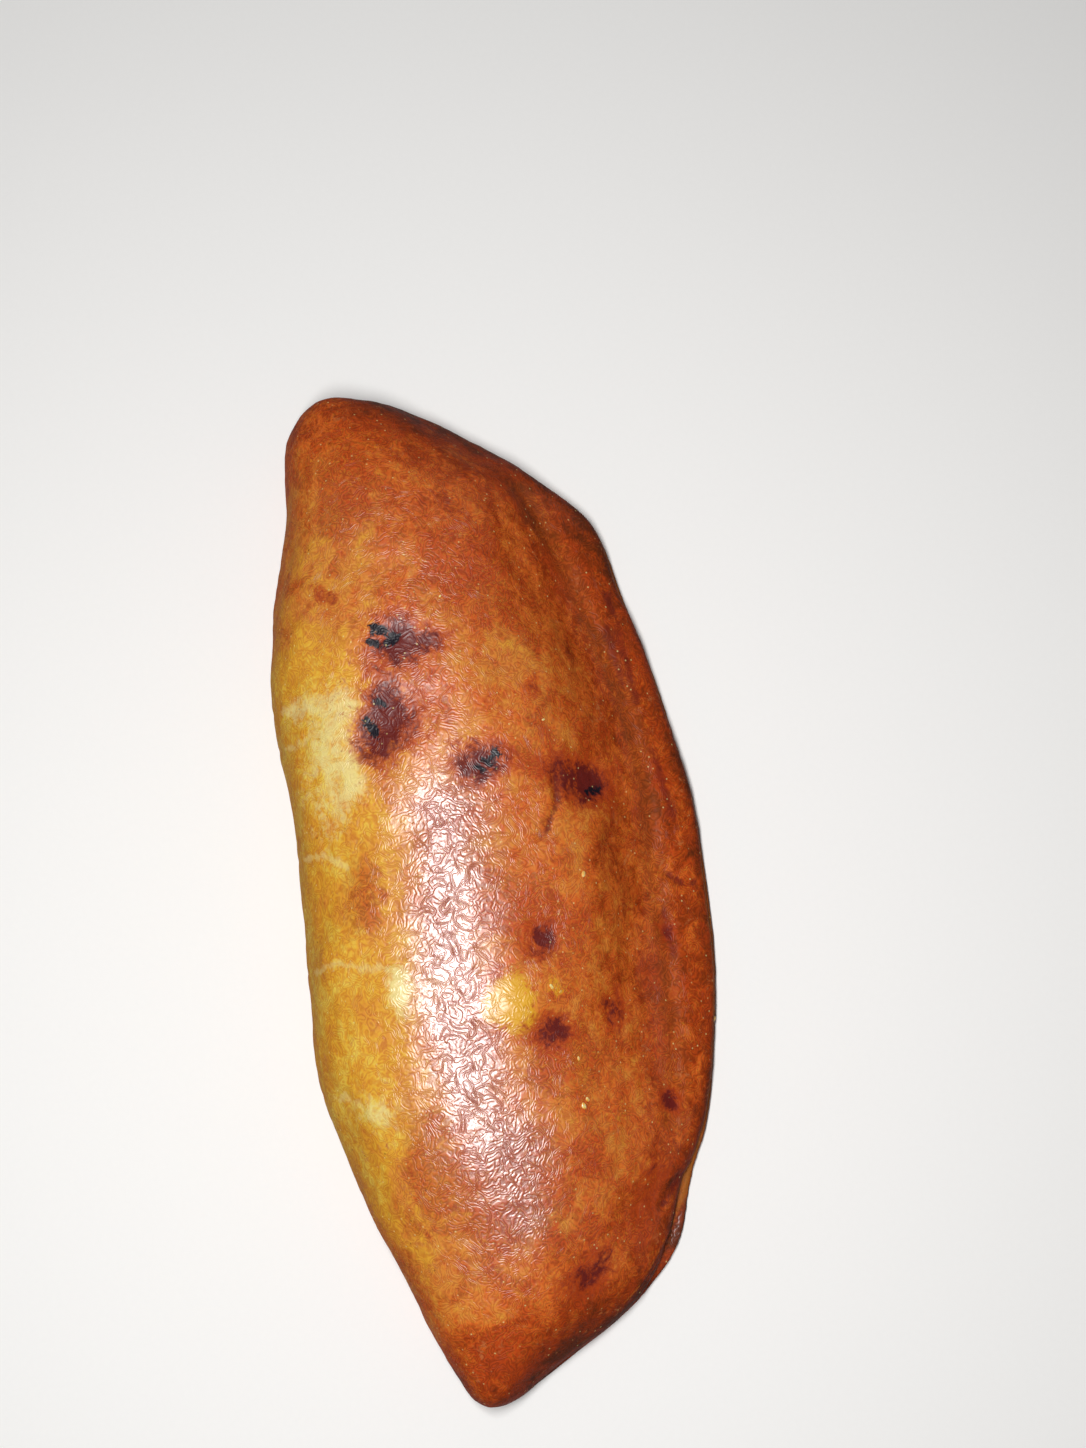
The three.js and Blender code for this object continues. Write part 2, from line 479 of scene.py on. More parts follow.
class TURNOVER_PG_stage(bpy.types.PropertyGroup):
    """The floor, the lamps and the camera."""

    floor_colour: FloatVectorProperty(
        name="Floor",
        description="Colour of the floor",
        subtype="COLOR",
        default=from_hex("F4F3F1"),
    )
    lens: FloatProperty(
        name="Lens",
        description="Focal length in millimetres on a 36 mm long side",
        default=60.0,
    )
    distance: FloatProperty(
        name="Distance",
        description="From the camera to the point that it looks at",
        default=389.8 * MM,
        unit="LENGTH",
    )
    elevation: FloatProperty(
        name="Elevation",
        description="Angle of the camera above the floor",
        default=math.radians(80),
        subtype="ANGLE",
    )
    turn: FloatProperty(
        name="Turn",
        description="How far the turnover's length is turned from the picture's upright",
        default=math.radians(7.97),
        subtype="ANGLE",
    )
    aim: FloatVectorProperty(
        name="Aim",
        description="Point of the floor in the middle of the picture",
        subtype="TRANSLATION",
        default=(24.2 * MM, -9.9 * MM, 0.0),
    )
    lamp_power: FloatProperty(
        name="Lamp",
        description="Power of the lamp beside the camera, in watts",
        default=1.5,
    )
    fill_power: FloatProperty(
        name="Fill",
        description="Power of the wide soft light overhead, in watts",
        default=0.08,
    )


# ---- Selecting and applying -------------------------------------------------------


def only(piece):
    """Selects one object, and nothing else, and makes it active."""
    bpy.ops.object.select_all(action="DESELECT")
    piece.select_set(True)
    bpy.context.view_layer.objects.active = piece


def shaped(piece, kind, **settings):
    """Adds a modifier with its settings and applies it."""
    only(piece)
    modifier = piece.modifiers.new(kind.lower(), kind)
    for name, value in settings.items():
        setattr(modifier, name, value)
    bpy.ops.object.modifier_apply(modifier=modifier.name)


def rows_of(items, name):
    """One row of three numbers for each of a mesh's vertices or normals."""
    flat = np.empty(len(items) * 3, np.float32)
    items.foreach_get(name, flat)
    return flat.reshape(-1, 3).astype(float)


def places_of(piece):
    """The places of a piece's vertices, in millimetres."""
    return rows_of(piece.data.vertices, "co") / MM


def upwardness(piece):
    """How much a piece's surface faces up at each vertex: 1 if level and 0 if upright."""
    return rows_of(piece.data.vertex_normals, "vector")[:, 2]


# ---- Where the marks are ----------------------------------------------------------


def smooth_step(none, whole, values):
    """0 up to one value, 1 from the other on, and a smooth change between them."""
    share = np.clip((values - none) / (whole - none), 0, 1)
    return share * share * (3 - 2 * share)


def close_to(gaps, reach):
    """1 where a gap is nothing, fading out over the given reach."""
    return np.exp(-((gaps / reach) ** 2))


def patches(places, marks):
    """How much of the patches lies over each place, from 0 to 1."""
    clear = np.ones(len(places))
    for x, y, length, width, turn, strength in marks:
        angle = math.radians(turn)
        right, up = places[:, 0] - x, places[:, 1] - y
        along = right * math.cos(angle) + up * math.sin(angle)
        across = up * math.cos(angle) - right * math.sin(angle)
        off_middle = (along / length) ** 2 + (across / width) ** 2
        clear *= 1 - strength * np.exp(-PATCH_FALL * off_middle)
    return 1 - clear


def distance_to(places, lines):
    """Distance in millimetres from each place to the nearest of the lines."""
    nearest = np.full(len(places), np.inf)
    for line in lines:
        for start, end in zip(line, line[1:]):
            start, step = np.array(start), np.array(end) - np.array(start)
            offset = places[:, :2] - start
            share = np.clip(offset @ step / (step @ step), 0, 1)
            gap = np.linalg.norm(offset - share[:, None] * step, axis=1)
            nearest = np.minimum(nearest, gap)
    return nearest


def past(places, line):
    """How far each place is past a line along the rim, towards the seam."""
    along, across = zip(*sorted(line))
    return np.interp(places[:, 0], along, across) - places[:, 1]


def wavy(places):
    """The places moved a little from side to side, so that a line drawn over them wavers."""
    shift = sum(amount * np.sin(rate * places[:, 1]) for amount, rate in WAVER)
    return places + np.outer(shift, (1, 0, 0))


def way_across(places):
    """How far each place is from the fold edge to the seam edge, from 0 to 1."""
    column = np.round(places[:, 0]).astype(int)
    first = column.min()
    columns = np.arange(first, column.max() + 1)
    low, high = np.full(len(columns), np.inf), np.full(len(columns), -np.inf)
    np.minimum.at(low, column - first, places[:, 1])
    np.maximum.at(high, column - first, places[:, 1])
    known = np.isfinite(low)
    seam = np.interp(places[:, 0], columns[known], low[known])
    fold = np.interp(places[:, 0], columns[known], high[known])
    return np.clip((fold - places[:, 1]) / np.maximum(fold - seam, 1), 0, 1)


def between(ends, places):
    """1 between two ends along the length, and 0 outside them."""
    return np.prod([smooth_step(*end, places[:, 0]) for end in ends], axis=0)


def on_rim(places):
    """1 from the valley to the seam edge, where the rim was pressed, and 0 on the dome."""
    return smooth_step(*RIM_ZONE, past(places, VALLEY)) * between(RIM_ENDS, places)


def slipped_layer(places):
    """1 past the upper layer's edge, where the lower one slipped out, and 0 elsewhere."""
    return smooth_step(*SLIP_ZONE, past(places, LAYER_EDGE)) * between(SLIP_ENDS, places)


def seam_wall(places):
    """1 on the rim's outer wall, where both layers of dough show, and 0 elsewhere."""
    return smooth_step(*WALL_SIDE, way_across(places)) * smooth_step(*WALL_ZONE, places[:, 2])


def browning(places):
    """The tone of the crust at each place, without its marks and mottling."""
    x, across = places[:, 0], way_across(places)
    tone = np.interp(across, *zip(*BROWNING))
    far_tone = END_TONE + FAR_SEAM_BROWNING * across**2
    tone += smooth_step(*FAR_END, x) * (far_tone - tone)
    near_tone = END_TONE + NEAR_SEAM_BROWNING * across**2
    tone += smooth_step(*NEAR_END, x) * (near_tone - tone)
    tone += NEAR_TIP_BROWNING * smooth_step(*NEAR_TIP, x)
    tone += TIP_BROWNING * smooth_step(*BOTH_TIPS, np.abs(x))
    return tone + LOW_DARKENING * smooth_step(*LOW_ZONE, places[:, 2])


def egg_wash(places, up):
    """How thick the egg wash lies at each place, from 0 to 1."""
    wash = smooth_step(*LEVEL, up) * (THIN_WASH + (1 - THIN_WASH) * patches(places, GLOSSY))
    wash *= 1 - DRY_RIM * on_rim(places)
    wash *= 1 - DRY_TIP * smooth_step(*DRY_TIPS, np.abs(places[:, 0]))
    wash *= 1 - DRY_SCORCH * patches(places, SCORCHED)
    return wash * (1 - DRY_CHAR * patches(places, CHARRED))


# ---- The baked crust --------------------------------------------------------------


def copy_of_solid(node, name):
    """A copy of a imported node's mesh, with its loose triangles merged."""
    piece = bpy.data.objects.new(name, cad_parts[node].data.copy())
    bpy.context.scene.collection.objects.link(piece)
    only(piece)
    bpy.ops.object.mode_set(mode="EDIT")
    bpy.ops.mesh.select_all(action="SELECT")
    bpy.ops.mesh.remove_doubles(threshold=0.01 * MM)
    bpy.ops.object.mode_set(mode="OBJECT")
    return piece


def weigh(piece, name, weights):
    """Adds a vertex group with a weight for each vertex, in steps of a hundredth.

    Its name has to differ from the names that values are noted under.
    """
    group = piece.vertex_groups.new(name=name)
    levels = np.round(np.clip(weights, 0, 1) * 100).astype(int)
    for level in range(1, 101):
        group.add(np.flatnonzero(levels == level).tolist(), level / 100, "REPLACE")


def cloud(name, size):
    """A cloudy texture with lumps of the given size, for modelling relief."""
    texture = bpy.data.textures.new(name, "CLOUDS")
    texture.noise_scale = size
    texture.noise_depth = 2
    texture.noise_basis = "IMPROVED_PERLIN"
    return texture


def weigh_relief(piece):
    """Weighs how much of each kind of relief each part of the crust takes."""
    places = places_of(piece)
    above = smooth_step(*RELIEF_ZONE, places[:, 2])
    crease = close_to(distance_to(places, DARK_CREASES), CREASE_REACH)
    crack = close_to(distance_to(wavy(places), PALE_CRACKS), CRACK_REACH)
    groove = close_to(distance_to(places, [VALLEY]), GROOVE_REACH)
    parting = close_to(places[:, 2] - PARTING_HEIGHT, PARTING_REACH)
    weigh(piece, "crust", above)
    weigh(piece, "scorched", above * patches(places, SCORCHED))
    weigh(piece, "creased", above * crease)
    weigh(piece, "cracked", above * crack)
    weigh(piece, "grooved", above * groove)
    weigh(piece, "parted", seam_wall(places) * parting)
    weigh(piece, "slipped", slipped_layer(places))


def model_relief(piece, sizes):
    """Models lumps, blisters, burnt hollows, creases and cracks into the crust."""
    weigh_relief(piece)
    reliefs = [
        ("crust", cloud("lumps", LUMP_SIZE), sizes.lumps),
        ("crust", cloud("blisters", BLISTER_SIZE), sizes.blisters),
        ("scorched", cloud("burnt grain", BURNT_GRAIN), BURNT_ROUGHNESS * sizes.blisters),
        ("scorched", None, -sizes.burn_depth),
        ("creased", None, -sizes.crease_depth),
        ("cracked", None, -CRACK_DEPTH * sizes.crease_depth),
        ("grooved", None, -sizes.crease_depth),
        ("parted", None, -sizes.parting_depth),
        ("slipped", None, -sizes.parting_depth),
    ]
    for group, texture, height in reliefs:
        shaped(
            piece,
            "DISPLACE",
            texture=texture,
            texture_coords="LOCAL",
            strength=height,
            mid_level=0.5 if texture else 0.0,
            vertex_group=group,
        )


def note(piece, name, values):
    """Stores a value for each vertex under a name that the material reads."""
    attribute = piece.data.attributes.new(name, "FLOAT", "POINT")
    attribute.data.foreach_set("value", values.astype(np.float32))


def note_browning(piece):
    """Stores how far the crust is browned and glazed, where its patches are, and where it takes
    painted shade in the valley and on the steep sides.
    """
    places, up = places_of(piece), upwardness(piece)
    above = smooth_step(*MARK_ZONE, places[:, 2])
    note(piece, "tone", browning(places))
    note(piece, "glaze", egg_wash(places, up))
    note(piece, "gloss", patches(places, GLOSSY))
    note(piece, "flush", above * patches(places, FLUSHED))
    note(piece, "scorch", above * patches(places, SCORCHED))
    note(piece, "char", above * patches(places, CHARRED))
    note(piece, "pale", above * patches(places, PALE))
    note(piece, "yolk", above * patches(places, YELLOW))
    # Where the valley takes its painted shade.
    valley = close_to(distance_to(places, [VALLEY]), VALLEY_REACH)
    note(piece, "valley", above * valley)
    note(piece, "wall", seam_wall(places) * smooth_step(*WALL_END, places[:, 0]))
    # Painted shade on the steep sides, strongest towards the seam.
    seam_side = smooth_step(*SEAM_SIDE, way_across(places))
    steep_shading = FOLD_SIDE_SHADE + (1 - FOLD_SIDE_SHADE) * seam_side
    note(piece, "steep", smooth_step(*STEEP, up) * steep_shading)


def note_lines(piece):
    """Stores the distances to the cracks, creases and streaks, and to the layer's edge.

    A line fades out where something is added to its distance: low on the sides for
    cracks, near the floor for creases, and on nearly upright dough for the edge.
    """
    places, up = places_of(piece), upwardness(piece)
    crack = np.minimum(distance_to(wavy(places), PALE_CRACKS), FAR_FROM_LINE)
    note(piece, "crack", crack + FADED_LINE * (1 - smooth_step(*CRACK_ZONE, places[:, 2])))
    crease = np.minimum(distance_to(places, DARK_CREASES), FAR_FROM_LINE)
    note(piece, "crease", crease + FAR_FROM_LINE * (1 - smooth_step(*MARK_ZONE, places[:, 2])))
    note(piece, "streak", np.minimum(distance_to(places, STREAKS), FAR_FROM_LINE))
    edge = np.minimum(distance_to(places, [LAYER_EDGE]), FAR_FROM_LINE)
    note(piece, "edge", edge + FADED_LINE * smooth_step(*NEARLY_UPRIGHT, up))


class TURNOVER_OT_crust(bpy.types.Operator):
    """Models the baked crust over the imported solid"""

    bl_idname = "turnover.crust"
    bl_label = "Baked crust"

    def execute(self, context):
        sizes = context.scene.turnover_crust
        piece = copy_of_solid("crust", "baked_crust")
        shaped(piece, "SUBSURF", levels=1, render_levels=1)
        shaped(piece, "REMESH", mode="VOXEL", voxel_size=sizes.grain, adaptivity=0)
        shaped(piece, "SMOOTH", factor=0.5, iterations=6)
        model_relief(piece, sizes)
        note_browning(piece)
        note_lines(piece)
        only(piece)
        bpy.ops.object.shade_smooth()
        piece.data.materials.clear()
        piece.data.materials.append(crust_finish(context.scene.turnover_colours))
        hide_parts("crust")
        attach(piece, "root")
        return {"FINISHED"}


# ---- The crumbs -------------------------------------------------------------------


def baked_flake(place, normal, size, chance):
    """Models one ragged flake of dough, lying on the crust at a place."""
    bpy.ops.object.select_all(action="DESELECT")
    bpy.ops.mesh.primitive_ico_sphere_add(subdivisions=3, radius=size / 2)
    flake = bpy.context.object
    flake.scale = (1, chance.uniform(0.55, 0.8), chance.uniform(0.35, 0.5))
    bpy.ops.object.transform_apply(scale=True)
    shaped(
        flake,
        "DISPLACE",
        texture=cloud("flake", FLAKE_GRAIN),
        texture_coords="GLOBAL",
        strength=FLAKE_ROUGHNESS * size,
    )
    tilt = normal.to_track_quat("Z", "Y").to_matrix().to_4x4()
    spin = Matrix.Rotation(chance.uniform(0, math.tau), 4, "Z")
    lifted = Matrix.Translation(place + normal * FLAKE_LIFT * size)
    flake.matrix_world = lifted @ tilt @ spin
    bpy.ops.object.transform_apply(location=True, rotation=True, scale=True)
    return flake


class TURNOVER_OT_crumbs(bpy.types.Operator):
    """Adds the few small flakes of dough that are baked onto the crust"""

    bl_idname = "turnover.crumbs"
    bl_label = "Crumbs"

    def execute(self, context):
        surface = BVHTree.FromObject(
            bpy.data.objects["baked_crust"], context.evaluated_depsgraph_get()
        )
        chance = random.Random(SEED)
        flakes = []
        for x, y, size in CRUMBS:
            overhead = Vector((x * MM, y * MM, 2 * CAD_HIGH.z))
            place, normal, _, _ = surface.ray_cast(overhead, Vector((0, 0, -1)))
            if place is None:
                raise RuntimeError(f"no crust under the crumb at {x}, {y}")
            flakes.append(baked_flake(place, normal, size * MM, chance))
        only(flakes[0])
        for flake in flakes:
            flake.select_set(True)
        bpy.ops.object.join()
        piece = context.object
        piece.name = "crumbs"
        bpy.ops.object.shade_smooth()
        piece.data.materials.append(crumb_finish(context.scene.turnover_colours))
        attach(piece, "root")
        return {"FINISHED"}


# ---- Building materials -----------------------------------------------------------

# Sockets of a Mix node that mixes colours. Their names are shared with other sockets.
MIX_SHARE, MIX_FIRST, MIX_SECOND, MIX_RESULT = 0, 6, 7, 2


class Finish:
    """Builds the nodes of one material."""

    def __init__(self, name):
        self.material = bpy.data.materials.new(name)
        self.material.use_nodes = True
        self.nodes = self.material.node_tree.nodes
        self.links = self.material.node_tree.links
        self.shader = self.nodes["Principled BSDF"]
        self.places = self.nodes.new("ShaderNodeTexCoord").outputs["Object"]

    def put(self, socket, value):
        """Sets a socket to a value, or links it to another node's output."""
        if isinstance(value, bpy.types.NodeSocket):
            self.links.new(value, socket)
        else:
            socket.default_value = value

    def give(self, name, value):
        """Gives the shader one of its inputs."""
        self.put(self.shader.inputs[name], value)

    def maths(self, operation, first, second=0.0):
        """The result of the named operation on one or two numbers."""
        node = self.nodes.new("ShaderNodeMath")
        node.operation = operation
        self.put(node.inputs[0], first)
        self.put(node.inputs[1], second)
        return node.outputs[0]

    def noise(self, size, detail=2.0, roughness=0.5, distortion=0.0):
        """Cloudy noise around 0.5, with lumps of the given size."""
        node = self.nodes.new("ShaderNodeTexNoise")
        self.links.new(self.places, node.inputs["Vector"])
        node.inputs["Scale"].default_value = 1 / size
        node.inputs["Detail"].default_value = detail
        node.inputs["Roughness"].default_value = roughness
        node.inputs["Distortion"].default_value = distortion
        return node.outputs["Fac"]

    def dots(self, spacing, radius):
        """1 at the middle of scattered dots of the given radius, and 0 outside them."""
        node = self.nodes.new("ShaderNodeTexVoronoi")
        self.links.new(self.places, node.inputs["Vector"])
        node.inputs["Scale"].default_value = 1 / spacing
        return self.rise(node.outputs["Distance"], 0, radius / spacing, start=1, end=0)

    def swing(self, noise, amount, middle=0.0):
        """Noise brought to swing about a middle value by the amount."""
        node = self.nodes.new("ShaderNodeMapRange")
        node.clamp = False
        self.put(node.inputs["Value"], noise)
        node.inputs["To Min"].default_value = middle - amount
        node.inputs["To Max"].default_value = middle + amount
        return node.outputs["Result"]

    def value(self, name):
        """A value stored with the mesh."""
        node = self.nodes.new("ShaderNodeAttribute")
        node.attribute_name = name
        return node.outputs["Fac"]

    def rise(self, value, low, high, start=0.0, end=1.0):
        """A smooth change from start to end while the value goes from low to high."""
        node = self.nodes.new("ShaderNodeMapRange")
        node.interpolation_type = "SMOOTHSTEP"
        self.put(node.inputs["Value"], value)
        node.inputs["From Min"].default_value = low
        node.inputs["From Max"].default_value = high
        node.inputs["To Min"].default_value = start
        node.inputs["To Max"].default_value = end
        return node.outputs["Result"]

    def blend(self, share, first, second, mode="MIX"):
        """Two colours mixed by a share."""
        node = self.nodes.new("ShaderNodeMix")
        node.data_type = "RGBA"
        node.blend_type = mode
        self.put(node.inputs[MIX_SHARE], share)
        self.put(node.inputs[MIX_FIRST], first)
        self.put(node.inputs[MIX_SECOND], second)
        return node.outputs[MIX_RESULT]

    def ramp(self, value, stops):
        """A colour for each value, by stops of (place, colour)."""
        node = self.nodes.new("ShaderNodeValToRGB")
        self.put(node.inputs["Fac"], value)
        elements = node.color_ramp.elements
        while len(elements) < len(stops):
            elements.new(0.5)
        for element, (place, colour) in zip(elements, stops):
            element.position = place
            element.color = colour
        return node.outputs["Color"]

    def bump(self, height, distance, normal=None):
        """Fine relief, with a height from 0 to 1 times the distance."""
        node = self.nodes.new("ShaderNodeBump")
        node.inputs["Strength"].default_value = 1.0
        node.inputs["Distance"].default_value = distance
        self.put(node.inputs["Height"], height)
        if normal:
            self.links.new(normal, node.inputs["Normal"])
        return node.outputs["Normal"]


# ---- The crust's material ---------------------------------------------------------

# Colour of the dough at each tone.
SHADES = [
    (0.02, "cream"),
    (0.16, "straw"),
    (0.31, "golden"),
    (0.46, "amber"),
    (0.62, "orange"),
    (0.76, "russet"),
    (0.94, "umber"),
]

# Mottling, from coarse to fine, as (size, detail, how far the tone swings).
MOTTLES = [
    (12 * MM, 2, 0.17),
    (4.5 * MM, 4, 0.24),
    (1.4 * MM, 3, 0.2),
]

# Ragged patches, as (name, value where they start, value where they are whole, greatest
# share, colour).
PATCHES = [
    ("pale", 0.15, 0.8, 0.8, "cream"),
    ("yolk", 0.3, 0.7, 0.9, "yolk"),
    ("scorch", 0.15, 0.5, 0.8, "flushed"),
    ("scorch", 0.4, 0.85, 1.0, "scorched"),
    ("char", 0.42, 0.66, 1.0, "charred"),
]

# Noise that makes the patches and the lines ragged, as (size, detail, swing).
COARSE_RAGS = (3.0 * MM, 3, 0.6)
FINE_RAGS = (0.9 * MM, 3, 0.45)
LINE_RAGS = (1.6 * MM, 3, 1.3)

# Ragged lines, as (name, half width in millimetres, greatest share, colour). The dark red along
# the creases is painted shade.
LINES = [
    ("streak", 1.1, 0.6, "scorched"),
    ("crack", 0.8, 0.38, "cream"),
    ("crease", 0.8, 0.75, "scorched"),
]

# Painted glints of tiny bubbles as cream dots, and dark pores, as (spacing, radius, share,
# colour).
GLINTS_AND_PORES = [
    (1.6 * MM, 0.21 * MM, 0.75, "cream"),
    (3.4 * MM, 0.26 * MM, 0.85, "umber"),
]

# The wrinkles are a wave laid over a swirling noise. For the swirls, and for the finer
# noise that breaks the wave up: their size, and the radians that the wave runs over them.
SWIRL_SIZE, SWIRL_TURNS = 2.4 * MM, 62
BREAK_SIZE, BREAK_TURNS = 0.75 * MM, 5

# Heights of the finest relief: wrinkles, pimples and grain.
WRINKLE_HEIGHT = 0.062 * MM
PIMPLE_HEIGHT = 0.06 * MM
GRAIN_HEIGHT = 0.012 * MM

# How strongly the painted highlights on the wrinkles' crests and the painted shade in their
# hollows lighten and darken the colour.
WRINKLE_SHADING = 0.36

# How much a heated patch adds to what makes the dough flush.
HEAT = 0.3


def skin_wrinkles(finish):
    """Height of the wrinkled egg wash, from 0 to 1: curved ridges side by side."""
    swirl = finish.noise(SWIRL_SIZE, detail=1, distortion=0.6)
    broken = finish.noise(BREAK_SIZE, detail=1, distortion=0.5)
    turns = finish.maths(
        "ADD",
        finish.maths("MULTIPLY", swirl, SWIRL_TURNS),
        finish.maths("MULTIPLY", broken, BREAK_TURNS),
    )
    ridges = finish.maths("SINE", turns)
    return finish.maths("ADD", finish.maths("MULTIPLY", ridges, 0.5), 0.5)


def mottled_tone(finish):
    """The tone of the dough, with its mottling."""
    tone = finish.value("tone")
    for size, detail, amount in MOTTLES:
        mottle = finish.noise(size, detail, roughness=0.65, distortion=0.6)
        tone = finish.maths("ADD", tone, finish.swing(mottle, amount))
    return tone


def flushing(finish):
    """How much the dough flushes red-brown: in clouds, where it is browned or heated."""
    heated = finish.maths("MULTIPLY", finish.value("flush"), HEAT)
    clouds = finish.noise(6.5 * MM, detail=4, roughness=0.6, distortion=0.8)
    clouds = finish.maths("ADD", clouds, heated)
    browned = finish.maths("ADD", finish.value("tone"), heated)
    return finish.maths(
        "MULTIPLY",
        finish.rise(clouds, low=0.47, high=0.66, end=0.75),
        finish.rise(browned, low=0.28, high=0.5),
    )


def glint_strands(finish, tone):
    """How much the thin golden strands show, painted glints of the skin's fine wrinkles: little
    on the darkest dough.
    """
    strands = finish.noise(1.8 * MM, detail=2, roughness=0.6, distortion=2.5)
    off_middle = finish.maths("ABSOLUTE", finish.swing(strands, 1.0))
    return finish.maths(
        "MULTIPLY",
        finish.rise(off_middle, low=0, high=0.05, start=0.5, end=0),
        finish.rise(tone, low=0.55, high=0.85, start=1, end=0.1),
    )


def paler_wall(finish):
    """How much the paler dough of the rim's outer wall shows, with a ragged edge."""
    rags = finish.swing(finish.noise(1.5 * MM), 0.5)
    wall = finish.maths("ADD", finish.value("wall"), rags)
    return finish.rise(wall, low=0.3, high=1, end=0.4)


def mottled_dough(finish, colour, wrinkles):
    """The browned dough without its marks. Painted highlights lighten the crest of each wrinkle
    and painted shade darkens their hollows; painted glints run as thin golden strands, and
    painted shade lies in the valley and on the steep sides.
    """
    tone = mottled_tone(finish)
    dough = finish.ramp(tone, [(place, colour(name)) for place, name in SHADES])
    dough = finish.blend(flushing(finish), dough, colour("flushed"))
    gloss = finish.rise(finish.value("gloss"), low=0.2, high=1, end=0.7)
    dough = finish.blend(gloss, dough, colour("flushed"))
    # Painted shade in the valley at the foot of the dome.
    valley = finish.rise(finish.value("valley"), low=0.2, high=0.9, end=0.4)
    dough = finish.blend(valley, dough, colour("tan"))
    # Painted highlights on the wrinkles' crests and painted shade in their hollows.
    wrinkle_shading = finish.swing(wrinkles, 0.3, middle=0.5)
    dough = finish.blend(WRINKLE_SHADING, dough, wrinkle_shading, mode="OVERLAY")
    # Painted glints, as thin golden strands.
    dough = finish.blend(glint_strands(finish, tone), dough, colour("golden"))
    dough = finish.blend(paler_wall(finish), dough, colour("amber"))
    # Painted shade of the steep sides.
    return finish.blend(finish.value("steep"), dough, colour("steep_shade"), mode="MULTIPLY")


def marked_dough(finish, colour, dough):
    """Adds the patches, burns, cracks, creases with their painted shade, painted glints of
    bubbles, and pores to the dough.
    """

    def rags(size, detail, amount, **settings):
        return finish.swing(finish.noise(size, detail, **settings), amount)

    ragged = finish.maths(
        "ADD",
        rags(*COARSE_RAGS, roughness=0.65, distortion=1.0),
        rags(*FINE_RAGS, roughness=0.65, distortion=1.0),
    )
    for name, start, whole, most, paint in PATCHES:
        amount = finish.maths("ADD", finish.value(name), ragged)
        share = finish.rise(amount, start, whole, end=most)
        dough = finish.blend(share, dough, colour(paint))
    edge = finish.rise(finish.value("edge"), low=0.1, high=0.5, start=0.45, end=0)
    dough = finish.blend(edge, dough, colour("amber"))
    wander = rags(*LINE_RAGS, roughness=0.7)
    for name, width, most, paint in LINES:
        gap = finish.maths("ADD", finish.value(name), wander)
        share = finish.rise(gap, low=0, high=width, start=most, end=0)
        dough = finish.blend(share, dough, colour(paint))
    for spacing, radius, most, paint in GLINTS_AND_PORES:
        share = finish.maths("MULTIPLY", finish.dots(spacing, radius), most)
        dough = finish.blend(share, dough, colour(paint))
    return dough


def crust_finish(colours):
    """Browned dough under a wrinkled, glossy film of egg wash."""

    def colour(name):
        return (*getattr(colours, name), 1.0)

    finish = Finish("browned crust")
    glaze = finish.value("glaze")
    wrinkles = skin_wrinkles(finish)
    dough = mottled_dough(finish, colour, wrinkles)
    finish.give("Base Color", marked_dough(finish, colour, dough))

    wrinkled = finish.maths("MULTIPLY", wrinkles, finish.rise(glaze, 0, 1, start=0.6))
    pimples = finish.dots(spacing=1.8 * MM, radius=0.3 * MM)
    grain = finish.noise(0.45 * MM, roughness=0.6)
    normal = finish.bump(wrinkled, WRINKLE_HEIGHT)
    normal = finish.bump(pimples, PIMPLE_HEIGHT, normal)
    normal = finish.bump(grain, GRAIN_HEIGHT, normal)
    finish.give("Normal", normal)
    finish.give("Coat Normal", normal)
    finish.give("Roughness", finish.rise(glaze, 0, 1, start=0.6, end=0.4))
    finish.give("Specular IOR Level", 0.03)
    finish.give("Coat Weight", glaze)
    finish.give("Coat Roughness", 0.43)
    finish.give("Coat IOR", 3.2)
    return finish.material


# ---- The materials of the crumbs and the floor ------------------------------------


def crumb_finish(colours):
    """Dry flakes, golden and cream."""
    finish = Finish("crumbs")
    tone = finish.rise(finish.noise(0.6 * MM), low=0.35, high=0.65)
    finish.give("Base Color", finish.blend(tone, (*colours.golden, 1.0), (*colours.cream, 1.0)))
    finish.give("Roughness", 0.4)
    finish.give("Coat Weight", 0.4)
    finish.give("Coat Roughness", 0.14)
    return finish.material


def floor_finish(colour):
    """Matt pale paper."""
    finish = Finish("pale floor")
    speckle = finish.swing(finish.noise(0.9 * MM), 0.01, middle=1.0)
    finish.give("Base Color", finish.blend(1.0, (*colour, 1.0), speckle, mode="MULTIPLY"))
    finish.give("Roughness", 0.9)
    finish.give("Specular IOR Level", 0.2)
    return finish.material


# ---- The stage --------------------------------------------------------------------

# The floor's size, and how far it lies below the underside, so that the two don't touch.
FLOOR_SIZE = 3.0
FLOOR_GAP = 0.2 * MM

# The long oval lamp: its width and height, and how far it stands left of the camera and
# above it, in the picture.
LAMP_SIZE = (30 * MM, 190 * MM)
LAMP_LEFT = 30 * MM
LAMP_UP = 5 * MM

# The round soft light overhead, and the dim light from all round.
FILL_SIZE = (900 * MM, 900 * MM)
FILL_PLACE = Vector((0.1, 0.3, 0.9))
ROOM_LIGHT = 0.06

WHITE = (1, 1, 1, 1)


def picture_axes(stage):
    """The directions of the picture's right and up on the floor, and back to the camera."""
    up = Vector((math.cos(stage.turn), -math.sin(stage.turn), 0))
    right = Vector((-math.sin(stage.turn), -math.cos(stage.turn), 0))
    back = Vector((0, 0, math.sin(stage.elevation))) - up * math.cos(stage.elevation)
    return right, up, back


def add_camera(stage, right, back):
    """The camera, which looks at the aim with the picture's right to its right."""
    data = bpy.data.cameras.new("camera")
    data.lens = stage.lens
    data.sensor_width = 36.0
    camera = bpy.data.objects.new("camera", data)
    bpy.context.scene.collection.objects.link(camera)
    place = Vector(stage.aim) + back * stage.distance
    axes = Matrix((right, back.cross(right), back)).transposed()
    camera.matrix_world = Matrix.Translation(place) @ axes.to_4x4()
    bpy.context.scene.camera = camera
    return camera


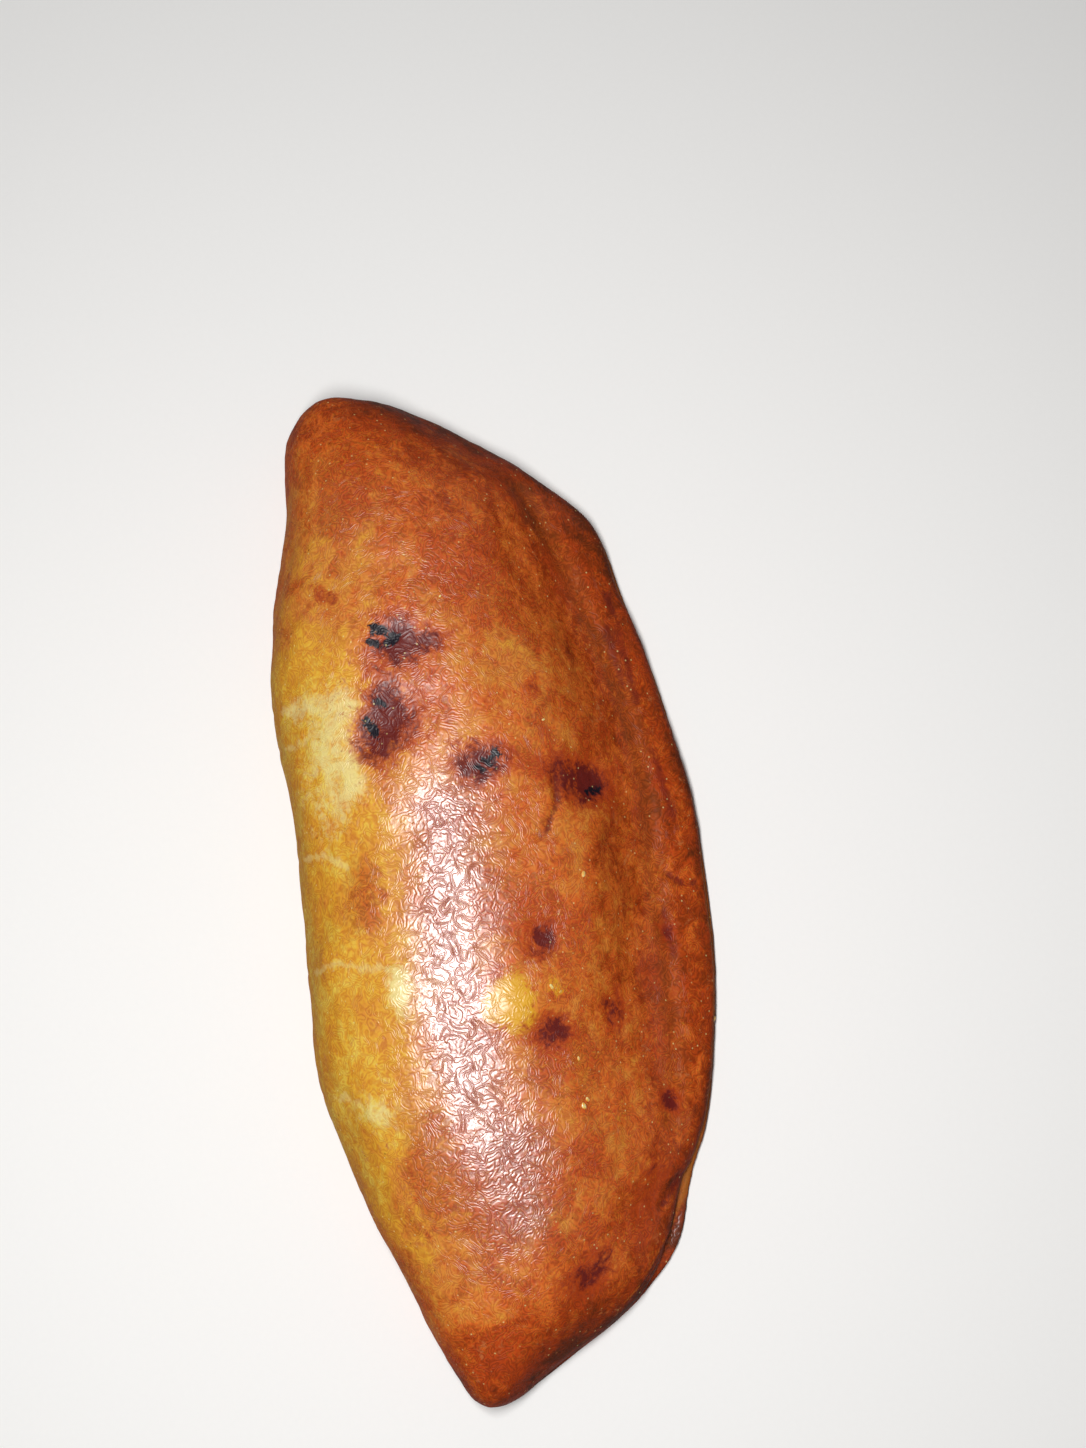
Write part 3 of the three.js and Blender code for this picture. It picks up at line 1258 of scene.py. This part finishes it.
def add_floor(colour):
    """A wide plane just under the turnover."""
    bpy.ops.object.select_all(action="DESELECT")
    bpy.ops.mesh.primitive_plane_add(size=FLOOR_SIZE, location=(0, 0, -FLOOR_GAP))
    floor = bpy.context.object
    floor.name = "floor"
    floor.data.materials.append(floor_finish(colour))
    return floor


def add_lamp(name, place, turn, size, power):
    """An oval soft light of a given width and height."""
    bpy.ops.object.light_add(type="AREA", location=place, rotation=turn)
    lamp = bpy.context.object
    lamp.name = name
    lamp.data.shape = "ELLIPSE"
    lamp.data.size, lamp.data.size_y = size
    lamp.data.energy = power


def light_room():
    """A dim white light from all round."""
    world = bpy.data.worlds.new("studio")
    world.use_nodes = True
    background = world.node_tree.nodes["Background"]
    background.inputs["Color"].default_value = WHITE
    background.inputs["Strength"].default_value = ROOM_LIGHT
    bpy.context.scene.world = world


class TURNOVER_OT_stage(bpy.types.Operator):
    """Adds the floor, the lamps and the camera"""

    bl_idname = "turnover.stage"
    bl_label = "Stage"

    def execute(self, context):
        stage = context.scene.turnover_stage
        right, up, back = picture_axes(stage)
        camera = add_camera(stage, right, back)
        floor = add_floor(stage.floor_colour)
        place, turn, _ = camera.matrix_world.decompose()
        beside = place - right * LAMP_LEFT + up * LAMP_UP
        add_lamp("lamp", beside, turn.to_euler(), LAMP_SIZE, stage.lamp_power)
        down = (-FILL_PLACE).to_track_quat("-Z", "Y")
        add_lamp("fill", FILL_PLACE, down.to_euler(), FILL_SIZE, stage.fill_power)
        light_room()
        context.scene.view_settings.view_transform = "Standard"
        return {"FINISHED"}


# ---- The add-on -------------------------------------------------------------------


class TURNOVER_PT_panel(bpy.types.Panel):
    """Lists the turnover's pieces and sizes."""

    bl_label = "Turnover"
    bl_idname = "TURNOVER_PT_panel"
    bl_space_type = "VIEW_3D"
    bl_region_type = "UI"
    bl_category = "Turnover"

    def draw(self, context):
        for operator in PIECES:
            self.layout.operator(operator.bl_idname)
        for name, group in GROUPS.items():
            box = self.layout.box()
            for setting in group.__annotations__:
                box.prop(getattr(context.scene, name), setting)


PIECES = (TURNOVER_OT_stage, TURNOVER_OT_crust, TURNOVER_OT_crumbs)
GROUPS = {
    "turnover_crust": TURNOVER_PG_crust,
    "turnover_colours": TURNOVER_PG_colours,
    "turnover_stage": TURNOVER_PG_stage,
}


def register():
    for item in (*GROUPS.values(), *PIECES, TURNOVER_PT_panel):
        bpy.utils.register_class(item)
    for name, group in GROUPS.items():
        setattr(bpy.types.Scene, name, PointerProperty(type=group))


def unregister():
    for name in GROUPS:
        delattr(bpy.types.Scene, name)
    for item in reversed((*GROUPS.values(), *PIECES, TURNOVER_PT_panel)):
        bpy.utils.unregister_class(item)


def main():
    """Makes the turnover and its stage."""
    register()
    bpy.ops.turnover.stage()
    bpy.ops.turnover.crust()
    bpy.ops.turnover.crumbs()


if __name__ == "__main__":
    main()
